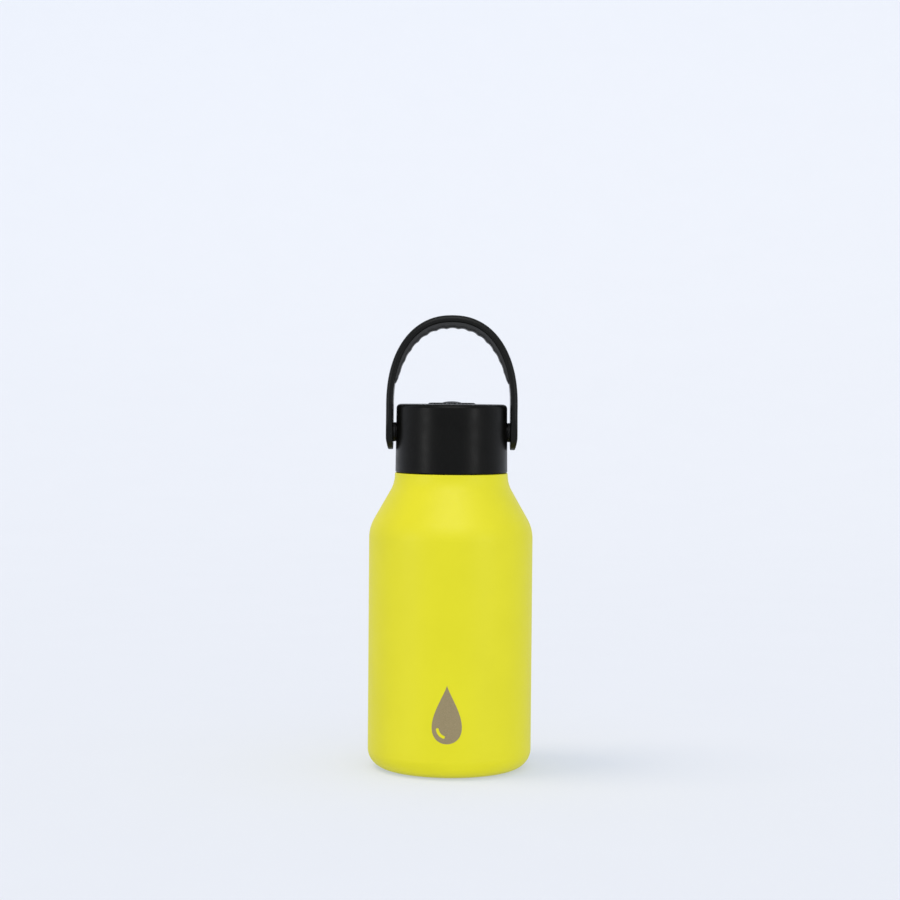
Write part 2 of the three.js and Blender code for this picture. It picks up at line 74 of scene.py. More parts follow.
body_radius = shell_high.x
neck_top = shell_high.z
lip_top = liner_high.z
liner_radius = liner_high.x
lid_base = lid_low.z
lid_top = lid_high.z
lid_radius = lid_high.y
pivot_z = (washer_low.z + washer_high.z) / 2
strap_half_width = bail_high.y
arch_half_width = bail_high.x
handle_top = bail_high.z

# ---------------------------------------------------------------- sizes

FIT_GAP = 0.3  # clearance between neighbouring pieces
TOUCH = 0.03  # what is left between pieces that touch
WALL = 0.5  # thickness of the steel

FOOT_CORNER = 8
FOOT_LAND = 2
FOOT_LAND_EDGE = 0.15
SHOULDER_Z = 98.1
SHOULDER_RADIUS = 16.9
SHOULDER_SLOPE = math.radians(29.55)
HOLLOW_RADIUS = 13.7
LEDGE_REVEAL = 0.2
LEDGE_EDGE = 0.5
NECK_RADIUS = 19.6
NECK_ROOT = 0.8
NECK_ROOT_GAP = 0.1
NECK_CHAMFER = 0.12
LINER_HOLLOW = 9
LINER_CORNER = 5
LAP_LOW = 1  # the liner's step over its cup, above the corner
LAP_HIGH = 1.6
VACUUM_OFFSET = 3.3
LIP_ROLL = 0.32
PORT_RADIUS = 0.8
PAN_RIM = 0.5
PAN_RECESS = 2.4
PAN_DIMPLE = 6
PAN_DIMPLE_BEND = 0.8
PAN_INNER_BEND = 0.5
PAN_OUTER_BEND = 0.4
PAN_RIM_EDGE = 0.15
DISC_BAND = 1.4  # the cover disc's lifted outer band
DISC_LIFT = 0.2
DISC_BEND = 0.5
DISC_EDGE = 0.1

THREAD_STARTS = 2
THREAD_LEAD = 8
THREAD_DEPTH = 0.9
THREAD_HALF_ROOT = 1.05
THREAD_TRAVEL = 4.8
THREAD_CROWN = 0.68  # over 0.5 flattens the thread's top
THREAD_RUN_OUT = math.radians(14)
NECK_THREAD_RISE = 2.2

LID_WALL = 1.65
LID_TAPER = 0.3
LID_EDGE = 1.8
LID_TOP_THICKNESS = 2
LID_FOOT_EDGE = 0.35
LID_MOUTH_EDGE = 0.15
LID_CORNER = 1
SKIRT_RISE = 1
SKIRT_EDGE = 0.2
SKIRT_BORE = NECK_RADIUS + THREAD_DEPTH + FIT_GAP
PLUG_RADIUS = 17.6
PLUG_WALL = 1.2
PLUG_FLOOR = 1.3
PLUG_EDGE = 0.8
PLUG_CORNER = 1
PLATE_THICKNESS = 1.4
PLATE_EDGE = 0.3
BOSS_RADIUS = 3.4
BOSS_ROOT = 0.6
BOSS_EDGE = 0.3
GASKET_LIP = 0.5
GASKET_LIP_EDGE = 0.3
GASKET_INNER_EDGE = 0.2
GASKET_OUTER_EDGE = 0.35
SCREW_RADIUS = 1.4
SCREW_HOLE_FLOOR = 2.5
SCREW_WELL_RADIUS = 3.2
SCREW_WELL_DEPTH = 2.1
HUB_RADIUS = 5.2
HUB_THICKNESS = 1.6
HUB_EDGE = 0.3
HUB_ROOT = 0.5
BADGE_RECESS = 1
BADGE_RECESS_EDGE = 0.2
BADGE_DOME = 5.2
BADGE_DOME_POWERS = (2.2, 0.75)  # how full the dome's side is, outwards and upwards
BADGE_PLATEAU = 0.12
BADGE_RIM = 0.15
BADGE_RIM_DROP = 0.1
BADGE_GROOVE = 0.3
BADGE_RING_RISE = 0.6
BADGE_RING_INNER = 6.5
BADGE_FLUTES = 30
FLUTE_END_SLOPE = 4.5
FLUTE_STEEPNESS = 0.75

PAD_RADIUS = 4.1
PAD_EDGE = 0.2
BORE_REACH = 3  # how far the bore's cutter runs to each side of the wall
PIN_RADIUS = 2
PIN_HEAD = 4.1
PIN_HEAD_THICKNESS = 1.15
PIN_HEAD_FLAT = 0.55  # the flat middle of the domed head, as a share of its radius
PIN_HEAD_DROP = 0.15
PIN_HEAD_DOME = 2.5
PIN_SOFT_EDGE = 0.3
PIN_CRISP_EDGE = 0.15
PIN_ROOT = 0.2
PIN_BARB_STEP = 0.8
PIN_BARB_LENGTH = 1.6
PIN_SLOT = 0.8
SLOT_REACH = 5  # half the width of the slot's cutter
SLOT_PAST = 0.5  # how far the cutter starts before the pin's tip
SLOT_INTO_HOLE = 1  # how far the slot runs past the lid's wall
WASHER_EDGE = 0.12
WASHER_GAP = 0.1

STRAP_THICKNESS = 3
ARCH_HEIGHT = 38.3
ARCH_POWER = 2.22
EYE_TAPER = 0.9
EYE_TAPER_LENGTH = 5
EYE_TAPER_POWER = 1.35
EYE_FLARE = 0.45
EYE_FLARE_DEPTH = 0.25
EYE_FLARE_RISE = 0.2
EYE_CUT_INSIDE = 1  # how far the eye's cutter runs past the strap on each side
EYE_CUT_OUTSIDE = 2
STRAP_OUTER_EDGE = 1.7
STRAP_INNER_EDGE = 0.9
EYE_EDGE = 0.4
EDGE_GROWTH = 8  # length over which the edges grow from the eye's to the strap's
EDGE_SHARE = 0.85  # the most of a band's thickness that an edge may take
GRIP_THICKNESS = 2.3
GRIP_END_THICKNESS = 0.5
GRIP_TIP_THICKNESS = 0.2
GRIP_TIP_LENGTH = 2.5
GRIP_TIP_POWER = 0.7
GRIP_RIBS = 15
GRIP_SCALLOP = 0.5
GRIP_CREST = 0.015  # rounds the crests of the ribs
GRIP_CREST_LEVEL = 0.12  # keeps the rounded crests at the grip's full thickness
GRIP_BOND_EDGE = 0.05
GRIP_EDGE = 1.9
GRIP_CORNER = 3

DROP_WIDTH = 12.6
DROP_HEIGHT = 24.4
DROP_MIDDLE_Z = 27.6
DROP_SHIFT = -1.1
DROP_POINT_POWER = 1.55
GLINT_RADIUS = 3.9
GLINT_WIDTH = 1.2
GLINT_ANGLES = (math.radians(188), math.radians(250))
GLINT_DROP = 5.6
ETCH_DEPTH = 0.08
ETCH_RISE = 0.05  # the mark's face above the floor of its recess
ETCH_PLATE = 0.12  # thickness of the mark's plate, which runs into the wall behind it
ETCH_CUT = 0.3  # how far the recess's cutter stands out of the wall

ledge_z = lid_base - FIT_GAP
ledge_radius = lid_radius + LEDGE_REVEAL
mouth_radius = NECK_RADIUS - FIT_GAP - 2 * WALL
skirt_z = lid_base + SKIRT_RISE
badge_ring_outer = badge_high.x - BADGE_RIM
arch_z = handle_top - ARCH_HEIGHT
leg_end = pivot_z - strap_half_width

# ---------------------------------------------------------------- fineness of the meshes

ARC_STEP = math.radians(6)
FINE_STEP = math.radians(2)
FOOT_STEP = math.radians(3)
LID_STEP = math.radians(9)
ROOT_STEP = math.radians(10)
FILLET_STEP = math.radians(15)
STROKE_END_STEP = math.radians(20)
CLIMB_STEP = 0.2
COAT_SIDES = 192
LID_SIDES = 192
LINER_SIDES = 160
THREAD_SIDES = 216
GASKET_SIDES = 144
PIVOT_SIDES = 64
SIDES_PER_FLUTE = 12
DOME_STEPS = 14
RING_STEPS = 16
DROP_STEPS = 72
DROP_STRIP = 0.7
LEG_STEPS = 60
ARCH_STEPS = 1600
LINE_REACH = 0.8  # distance to each side over which the line's direction is taken
EDGE_STEPS = 8
END_STEPS = 12
STRAP_PITCH = 1
END_FLAT = 0.001  # half the flat left on the strap's round ends
GRIP_PITCH = 0.42
SAME = 1e-6
MERGE_DISTANCE = 1e-7  # in metres
SHARP = math.radians(38)  # edges that turn more than this stay sharp

# ---------------------------------------------------------------- outlines, as (radius, z) pairs


def arc(r, z, radius, start, end, step=ARC_STEP):
    """Points of an arc about (r, z) between two angles, measured from the outward direction."""
    count = max(2, math.ceil(abs(end - start) / step))
    angles = [start + (end - start) * i / count for i in range(count + 1)]
    return [(r + radius * math.cos(a), z + radius * math.sin(a)) for a in angles]


def rounded(*corners, step=FILLET_STEP):
    """A closed outline from (radius, z, fillet) corners."""
    points = []
    for i, (r, z, fillet) in enumerate(corners):
        here = Vector((r, z))
        if not fillet:
            points.append((r, z))
            continue
        before = (Vector(corners[i - 1][:2]) - here).normalized()
        after = (Vector(corners[(i + 1) % len(corners)][:2]) - here).normalized()
        half = before.angle(after) / 2
        centre = here + (before + after).normalized() * (fillet / math.sin(half))
        first = here + before * (fillet / math.tan(half)) - centre
        last = here + after * (fillet / math.tan(half)) - centre
        start = math.atan2(first.y, first.x)
        sweep = (math.atan2(last.y, last.x) - start + HALF) % TURN - HALF
        points += arc(centre.x, centre.y, fillet, start, start + sweep, step)
    return points


def shoulder(side, convex, start_z, top, concave):
    """Side to neck: a convex arc, a cone and a concave arc that ends upright at radius top."""
    rise = arc(side - convex, start_z, convex, 0, SHOULDER_SLOPE, FINE_STEP)
    cone_r, cone_z = rise[-1]
    end_r = top + concave * (1 - math.cos(SHOULDER_SLOPE))
    end_z = cone_z + (cone_r - end_r) / math.tan(SHOULDER_SLOPE)
    centre_z = end_z + concave * math.sin(SHOULDER_SLOPE)
    hollow = arc(top + concave, centre_z, concave, HALF + SHOULDER_SLOPE, HALF, FINE_STEP)
    return rise + hollow


def climb(r, low, high):
    """Points straight up a wall, close enough together to carry a thread."""
    count = math.ceil((high - low) / CLIMB_STEP)
    return [(r, low + (high - low) * i / count) for i in range(count + 1)]


# ---------------------------------------------------------------- meshes


def upright(point):
    """Leaves a shape turned about Z where it is."""
    return point


def on_pivot(side):
    """Turns a shape about Z into one about the pivot axis, at the right (1) or the left (-1)."""
    return lambda p: Vector((side * p.z, side * p.x, p.y + pivot_z))


def smooth(mesh):
    """Smooth shading, with the sharp edges kept."""
    mesh.polygons.foreach_set("use_smooth", [True] * len(mesh.polygons))
    mesh.set_sharp_from_angle(angle=SHARP)


def mesh_object(name, points, faces):
    """A clean object, in metres, from points in millimetres."""
    mesh = bpy.data.meshes.new(name)
    mesh.from_pydata([Vector(p) * MM for p in points], [], faces)
    work = bmesh.new()
    work.from_mesh(mesh)
    bmesh.ops.remove_doubles(work, verts=work.verts, dist=MERGE_DISTANCE)
    bmesh.ops.recalc_face_normals(work, faces=work.faces)
    work.to_mesh(mesh)
    work.free()
    smooth(mesh)
    piece = bpy.data.objects.new(name, mesh)
    bpy.context.scene.collection.objects.link(piece)
    return piece


def revolve(name, outline, sides, place=upright, shape=None):
    """Turns a closed outline about the axis. place puts each point in the row frame, and shape
    first moves a point, given its angle, radius and height."""
    points, rings = [], []
    for r, z in outline:
        ring = []
        for i in range(sides):
            angle = TURN * i / sides
            radius, height = shape(angle, r, z) if shape else (r, z)
            across, away = radius * math.cos(angle), radius * math.sin(angle)
            points.append(place(Vector((across, away, height))))
            ring.append(len(points) - 1)
        rings.append(ring)
    faces = []
    for k, ring in enumerate(rings):
        if outline[k][0] == 0 and outline[(k + 1) % len(rings)][0] == 0:
            continue
        above = rings[(k + 1) % len(rings)]
        for i in range(sides):
            j = (i + 1) % sides
            faces.append((ring[i], ring[j], above[j], above[i]))
    return mesh_object(name, points, faces)


def block(name, xs, ys, zs):
    """A box between two values on each axis."""
    corners = [(x, y, z) for x in xs for y in ys for z in zs]
    faces = [(0, 1, 3, 2), (4, 6, 7, 5), (0, 4, 5, 1), (2, 3, 7, 6), (0, 2, 6, 4), (1, 5, 7, 3)]
    return mesh_object(name, corners, faces)


def applied(piece):
    """Bakes a piece's modifiers into its mesh."""
    graph = bpy.context.evaluated_depsgraph_get()
    mesh = bpy.data.meshes.new_from_object(piece.evaluated_get(graph))
    piece.modifiers.clear()
    piece.data = mesh
    smooth(mesh)
    return piece


def combined(piece, operation, *others):
    """Joins (UNION) or cuts (DIFFERENCE) the others, which are then gone."""
    for other in others:
        change = piece.modifiers.new(other.name, "BOOLEAN")
        change.object = other
        change.operation = operation
        change.solver = "EXACT"
    applied(piece)
    for other in others:
        bpy.data.objects.remove(other)
    return piece


def give_material(piece, material):
    """Makes this the piece's only material."""
    piece.data.materials.clear()
    piece.data.materials.append(material)


def place_piece(piece, material, body, slot, *nodes):
    """Gives a piece its material and its CAD body, and hides the nodes that it stands for. slot is
    not used.
    """
    give_material(piece, material)
    normals = piece.modifiers.new("weighted_normals", "WEIGHTED_NORMAL")
    normals.keep_sharp = True
    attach(piece, body)
    if nodes:
        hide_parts(*nodes)


# ---------------------------------------------------------------- materials

# A noise's values lie mostly between these two.
NOISE_LOW = 0.3
NOISE_HIGH = 0.7

COAT_DARK = (0.672, 0.625, 0.001)
COAT_LIGHT = (0.698, 0.65, 0.003)
ETCH_DARK = (0.27, 0.215, 0.115)
ETCH_LIGHT = (0.33, 0.265, 0.145)
STEEL_WARMTH = (1, 0.985, 0.95)
FOAM_DARK = (0.82, 0.82, 0.78)
FOAM_LIGHT = (0.9, 0.9, 0.87)
PAPER_DARK = (0.398, 0.402, 0.408)
PAPER_LIGHT = (0.402, 0.406, 0.412)
PAPER_GLOW = (0.355, 0.388, 0.468, 1)


class Nodes:
    """The node tree of a material whose surface varies with position."""

    def __init__(self, name):
        self.material = bpy.data.materials.new(name)
        self.material.use_nodes = True
        self.tree = self.material.node_tree
        self.shader = self.tree.nodes["Principled BSDF"]
        self.position = self.tree.nodes.new("ShaderNodeTexCoord").outputs["Object"]

    def add(self, kind, **inputs):
        """A new node, with each input linked to a socket or set to a value."""
        node = self.tree.nodes.new(kind)
        for key, value in inputs.items():
            socket = node.inputs[key.replace("_", " ")]
            if isinstance(value, bpy.types.NodeSocket):
                self.tree.links.new(value, socket)
            else:
                socket.default_value = value
        return node

    def set(self, **inputs):
        """Constant values on the shader itself."""
        for key, value in inputs.items():
            self.shader.inputs[key.replace("_", " ")].default_value = value

    def stretched(self, x, y, z):
        """The position with each axis scaled, so that a grain runs one way."""
        return self.add("ShaderNodeMapping", Vector=self.position, Scale=(x, y, z)).outputs[0]

    def noise(self, size, detail, vector=None):
        """Smooth noise whose features are about size millimetres across."""
        vector = vector or self.position
        node = self.add("ShaderNodeTexNoise", Vector=vector, Scale=1 / (size * MM), Detail=detail)
        return node.outputs["Fac"]

    def colours(self, value, dark, light, start=NOISE_LOW, end=NOISE_HIGH):
        """A base colour that goes from dark to light as value goes from start to end."""
        ramp = self.add("ShaderNodeValToRGB", Fac=value)
        elements = ramp.color_ramp.elements
        for element, stop, colour in zip(elements, (start, end), (dark, light)):
            element.position = stop
            element.color = (*colour, 1)
        self.tree.links.new(ramp.outputs[0], self.shader.inputs["Base Color"])

    def roughness(self, value, low, high):
        """A roughness that goes from low to high over the noise's usual range."""
        node = self.add("ShaderNodeMapRange", Value=value)
        node.inputs["From Min"].default_value = NOISE_LOW
        node.inputs["From Max"].default_value = NOISE_HIGH
        node.inputs["To Min"].default_value = low
        node.inputs["To Max"].default_value = high
        self.tree.links.new(node.outputs[0], self.shader.inputs["Roughness"])

    def bump(self, *layers):
        """layers are (height, distance in millimetres) pairs, coarsest first."""
        normal = None
        for height, distance in layers:
            node = self.add("ShaderNodeBump", Height=height, Distance=distance * MM)
            if normal:
                self.tree.links.new(normal, node.inputs["Normal"])
            normal = node.outputs[0]
        self.tree.links.new(normal, self.shader.inputs["Normal"])


def tint(colour, factor):
    """A lighter or darker shade of a colour."""
    return tuple(min(1, c * factor) for c in colour)


def moulded(name, colour, rough, specular=0.5, spark=0.25, depth=0.012, spread=0.12):
    """Moulded plastic or rubber: a spark-eroded grain and a faint variation of shade and gloss."""
    n = Nodes(name)
    cloud = n.noise(size=9, detail=3)
    grain = n.noise(size=spark, detail=2)
    n.colours(cloud, tint(colour, 1 - spread), tint(colour, 1 + spread))
    n.roughness(n.noise(size=5, detail=4), low=rough - 0.04, high=rough + 0.05)
    n.set(Specular_IOR_Level=specular)
    n.bump((cloud, 0.03), (grain, depth))
    return n.material


def powder_coat():
    """Matte powder coat: orange peel over fine powder grain, with a faint unevenness of shade."""
    n = Nodes("powder_coat")
    cloud = n.noise(size=22, detail=3)
    peel = n.noise(size=0.85, detail=1.5)
    grain = n.noise(size=0.16, detail=2)
    n.colours(cloud, COAT_DARK, COAT_LIGHT, start=0.32, end=0.68)
    n.roughness(peel, low=0.44, high=0.54)
    n.set(Specular_IOR_Level=0.38)
    n.bump((peel, 0.01), (grain, 0.004))
    return n.material


def brushed_steel(name, along=(1, 1, 14), shade=0.56, rough=0.27):
    """Brushed stainless steel. Its scratches run across the axis that along scales the most."""
    n = Nodes(name)
    scratches = n.noise(size=1.6, detail=4, vector=n.stretched(*along))
    fine = n.noise(size=0.5, detail=3, vector=n.stretched(*along))
    steel = [shade * warmth for warmth in STEEL_WARMTH]
    n.colours(scratches, tint(steel, 0.9), tint(steel, 1.1))
    n.roughness(fine, low=rough, high=rough + 0.12)
    n.set(Metallic=1.0)
    n.bump((scratches, 0.004), (fine, 0.003))
    return n.material


def etched_steel():
    """Steel laid bare by a laser: fine hatching, dull and warm."""
    n = Nodes("etched_steel")
    hatch = n.noise(size=0.9, detail=3, vector=n.stretched(1, 1, 9))
    speckle = n.noise(size=0.3, detail=3)
    n.colours(speckle, ETCH_DARK, ETCH_LIGHT)
    n.roughness(hatch, low=0.46, high=0.6)
    n.set(Metallic=0.55)
    n.bump((hatch, 0.006), (speckle, 0.004))
    return n.material


def foam():
    """White insulating foam, with its cells showing."""
    n = Nodes("foam")
    cell_size = 0.6
    cells = n.add("ShaderNodeTexVoronoi", Vector=n.position, Scale=1 / (cell_size * MM))
    n.colours(n.noise(size=4, detail=3), FOAM_DARK, FOAM_LIGHT)
    n.roughness(n.noise(size=1, detail=2), low=0.88, high=0.98)
    n.bump((cells.outputs["Distance"], 0.15))
    return n.material


coat = powder_coat()
etched = etched_steel()
turned_steel = brushed_steel("turned_steel")
plain_steel = brushed_steel("plain_steel", along=(1, 6, 1), shade=0.5, rough=0.35)
lid_black = moulded(
    "lid_black", (0.0026, 0.0025, 0.002), 0.34, specular=0.11, spark=0.3, depth=0.008
)
inner_black = moulded("inner_black", (0.012, 0.012, 0.012), 0.5, specular=0.4)
handle_black = moulded("handle_black", (0.0032, 0.0034, 0.0028), 0.36, specular=0.16, depth=0.01)
grip_grey = moulded(
    "grip_grey", (0.02, 0.0202, 0.0202), 0.5, specular=0.35, spark=0.22, depth=0.02
)
washer_black = moulded("washer_black", (0.006, 0.006, 0.006), 0.6, specular=0.3)
silicone = moulded(
    "silicone", (0.62, 0.63, 0.6), 0.42, specular=0.4, depth=0.004, spread=0.03
)
bead_glass = moulded(
    "bead_glass", (0.16, 0.075, 0.03), 0.12, spark=0.8, depth=0.01, spread=0.25
)
getter_grey = moulded(
    "getter_grey", (0.17, 0.16, 0.145), 0.8, spark=0.35, depth=0.06, spread=0.25
)
foam_white = foam()

# ---------------------------------------------------------------- bottle


def drop_outline(width, height):
    """A water drop, round below and drawn to a point above, centred on its own box."""
    points = []
    for i in range(DROP_STEPS):
        t = TURN * i / DROP_STEPS
        x = math.sin(t) * math.sin(t / 2) ** DROP_POINT_POWER
        points.append((x, math.cos(t)))
    reach = max(x for x, _ in points)
    return [(x / reach * width / 2, y * height / 2) for x, y in points]


def stroke_outline(radius, width, start, end):
    """An arc of a stroke with round ends, about the origin."""
    half = width / 2
    head = (math.cos(end) * radius, math.sin(end) * radius)
    tail = (math.cos(start) * radius, math.sin(start) * radius)
    return [
        *arc(0, 0, radius + half, start, end),
        *arc(*head, half, end, end + HALF, STROKE_END_STEP)[1:-1],
        *arc(0, 0, radius - half, end, start),
        *arc(*tail, half, start + HALF, start + TURN, STROKE_END_STEP)[1:-1],
    ]


def strips(piece):
    """Cuts a flat piece into upright strips, so that it can follow the body's curve."""
    work = bmesh.new()
    work.from_mesh(piece.data)
    low = min(v.co.x for v in work.verts)
    high = max(v.co.x for v in work.verts)
    x = low + DROP_STRIP * MM
    while x < high:
        geometry = work.verts[:] + work.edges[:] + work.faces[:]
        bmesh.ops.bisect_plane(work, geom=geometry, plane_co=(x, 0, 0), plane_no=(1, 0, 0))
        x += DROP_STRIP * MM
    work.to_mesh(piece.data)
    work.free()
    return piece


def flat_solid(name, outline, depth):
    """A flat outline in the XZ plane, as a plate from y = 0 back to y = depth."""
    count = len(outline)
    points = [(x, y, z) for y in (0, depth) for x, z in outline]
    faces = [tuple(range(count)), tuple(reversed(range(count, 2 * count)))]
    faces += [(i, (i + 1) % count, (i + 1) % count + count, i + count) for i in range(count)]
    return mesh_object(name, points, faces)


def wrap_on_body(piece, front_radius):
    """Bends a flat plate round the body: its front, y = 0, comes to front_radius."""
    for vertex in piece.data.vertices:
        radius = front_radius * MM - vertex.co.y
        angle = (vertex.co.x + DROP_SHIFT * MM) / (body_radius * MM)
        vertex.co.x = radius * math.sin(angle)
        vertex.co.y = -radius * math.cos(angle)
        vertex.co.z += DROP_MIDDLE_Z * MM
    smooth(piece.data)
    return piece


def drop_plate(name, front_radius, depth, shrink=0):
    """The drop mark, less its highlight, as a curved plate. shrink draws in all its edges."""
    width = DROP_WIDTH - 2 * shrink
    height = DROP_HEIGHT - 2 * shrink
    plate = flat_solid(name, drop_outline(width, height), depth)
    stroke = stroke_outline(GLINT_RADIUS, GLINT_WIDTH + 2 * shrink, *GLINT_ANGLES)
    glint = flat_solid(name + "_glint", stroke, 3 * depth)
    for vertex in glint.data.vertices:
        vertex.co.y -= depth * MM
        vertex.co.z -= GLINT_DROP * MM
    combined(plate, "DIFFERENCE", glint)
    return wrap_on_body(strips(plate), front_radius)


def bottle_coat():
    """The outer wall from its foot to the ledge that the lid meets, with the mark's recess."""
    foot = body_radius - FOOT_CORNER
    land = foot - FOOT_LAND
    neck_end = NECK_RADIUS + NECK_ROOT + NECK_ROOT_GAP
    inner = shoulder(
        body_radius - WALL,
        SHOULDER_RADIUS - WALL,
        SHOULDER_Z,
        ledge_radius - WALL,
        HOLLOW_RADIUS + WALL,
    )
    outline = [
        (land, FOOT_LAND_EDGE),
        (land + FOOT_LAND_EDGE, 0),
        *arc(foot, FOOT_CORNER, FOOT_CORNER, -QUARTER, 0, FOOT_STEP),
        *shoulder(body_radius, SHOULDER_RADIUS, SHOULDER_Z, ledge_radius, HOLLOW_RADIUS),
        *arc(ledge_radius - LEDGE_EDGE, ledge_z - LEDGE_EDGE, LEDGE_EDGE, 0, QUARTER),
        (neck_end, ledge_z),
        (neck_end, ledge_z - WALL),
        (ledge_radius - WALL, ledge_z - WALL),
        *reversed(inner),
        *arc(foot, FOOT_CORNER, FOOT_CORNER - WALL, 0, -QUARTER),
        (land, WALL),
    ]
    shell = revolve("bottle_coat", outline, COAT_SIDES)
    recess = drop_plate("recess", body_radius + ETCH_CUT, ETCH_CUT + ETCH_DEPTH)
    return combined(shell, "DIFFERENCE", recess)


def etched_drop():
    """The bare steel that shows through the coating, a little below its face."""
    front = body_radius - ETCH_DEPTH + ETCH_RISE
    return drop_plate("etched_drop", front, ETCH_PLATE, shrink=TOUCH)


def thread_height(angle, z, first_z, first_angle):
    """Height of the rolled thread at a point of its wall, from 0 to 1."""
    sweep = THREAD_TRAVEL / THREAD_LEAD * TURN
    height = 0
    for start in range(THREAD_STARTS):
        along = (angle - first_angle - start * TURN / THREAD_STARTS) % TURN
        if along > sweep:
            continue
        across = abs(z - first_z - along / TURN * THREAD_LEAD) / THREAD_HALF_ROOT
        if across < 1:
            end = min(1, min(along, sweep - along) / THREAD_RUN_OUT)
            crown = min(1, THREAD_CROWN * (1 + math.cos(math.pi * across)))
            height = max(height, crown * (3 - 2 * end) * end ** 2)
    return height


def steel_neck():
    """The bare neck above the ledge, with its two-start thread rolled in."""
    first_z = ledge_z + NECK_THREAD_RISE
    top = neck_top - NECK_CHAMFER
    root_r = NECK_RADIUS + NECK_ROOT
    low = ledge_z - TOUCH

    def shape(angle, r, z):
        if abs(r - NECK_RADIUS) > SAME:
            return r, z
        return r + THREAD_DEPTH * thread_height(angle, z, first_z, 0), z

    outline = [
        (root_r, low - WALL + 2 * TOUCH),
        (root_r, low),
        *arc(root_r, low + NECK_ROOT, NECK_ROOT, -QUARTER, -HALF, ROOT_STEP)[:-1],
        *climb(NECK_RADIUS, low + NECK_ROOT, top),
        (NECK_RADIUS - NECK_CHAMFER, neck_top),
        (NECK_RADIUS - WALL, neck_top),
        (NECK_RADIUS - WALL, low - WALL + 2 * TOUCH),
    ]
    return revolve("steel_neck", outline, THREAD_SIDES, shape=shape)


def steel_liner():
    """The inner wall: floor, side, shoulder, neck and the rolled lip over the outer neck."""
    corner_r = liner_radius - WALL - LINER_CORNER
    corner_z = cup_low.z + LINER_CORNER
    convex = SHOULDER_RADIUS - VACUUM_OFFSET
    outer = shoulder(liner_radius, convex, 0, mouth_radius + WALL, LINER_HOLLOW)
    start_z = ledge_z - WALL - FIT_GAP - outer[-1][1]
    outer = [(r, z + start_z) for r, z in outer]
    inner = shoulder(
        liner_radius - WALL, convex - WALL, start_z, mouth_radius, LINER_HOLLOW + WALL
    )
    lip_low = neck_top + TOUCH
    roll_z = lip_top - LIP_ROLL
    outline = [
        (0, cup_low.z),
        *arc(corner_r, corner_z, LINER_CORNER, -QUARTER, 0),
        (liner_radius - WALL, corner_z + LAP_LOW),
        (liner_radius, corner_z + LAP_HIGH),
        *outer,
        (mouth_radius + WALL, lip_low),
        (NECK_RADIUS, lip_low),
        *arc(NECK_RADIUS - LIP_ROLL, roll_z, LIP_ROLL, 0, QUARTER, FILLET_STEP),
        *arc(mouth_radius + LIP_ROLL, roll_z, LIP_ROLL, QUARTER, HALF, FILLET_STEP),
        *reversed(inner),
        *arc(corner_r, corner_z, LINER_CORNER - WALL, 0, -QUARTER),
        (0, cup_low.z + WALL),
    ]
    return revolve("steel_liner", outline, LINER_SIDES)


def base_pan():
    """The cup that closes the outer wall below, with the sealed port's dimple."""
    rim = pan_high.x
    outline = rounded(
        (PORT_RADIUS, pan_high.z - WALL, 0),
        (PAN_DIMPLE, PAN_RECESS, PAN_DIMPLE_BEND),
        (rim - PAN_RIM, PAN_RECESS, PAN_INNER_BEND),
        (rim - PAN_RIM, 0, PAN_RIM_EDGE),
        (rim, 0, PAN_RIM_EDGE),
        (rim, PAN_RECESS + WALL, PAN_OUTER_BEND),
        (PAN_DIMPLE, PAN_RECESS + WALL, PAN_DIMPLE_BEND),
        (PORT_RADIUS, pan_high.z, 0),
    )
    return revolve("base_pan", outline, LINER_SIDES)


def base_disc():
    """The thin disc that hides the dimple. Its lower face lifts a little towards its rim."""
    rim = cover_high.x
    outline = rounded(
        (0, cover_low.z, 0),
        (rim - DISC_BAND, cover_low.z, DISC_BEND),
        (rim, cover_low.z + DISC_LIFT, DISC_EDGE),
        (rim, cover_high.z, DISC_EDGE),
        (0, cover_high.z, 0),
    )
    return revolve("base_disc", outline, LINER_SIDES)


# ---------------------------------------------------------------- lid


def lid_face(z):
    """Radius of the cover's outside at a height."""
    return lid_radius - LID_TAPER * (z - lid_base) / (lid_top - lid_base)


def pivot_disc(name, side, radius, start, end, edge=0, hole=0):
    """A disc or ring on the pivot axis, between two distances from the lid's axis."""
    outline = rounded(
        (hole, start, 0), (radius, start, edge), (radius, end, edge), (hole, end, 0)
    )
    return revolve(name, outline, PIVOT_SIDES, on_pivot(side))


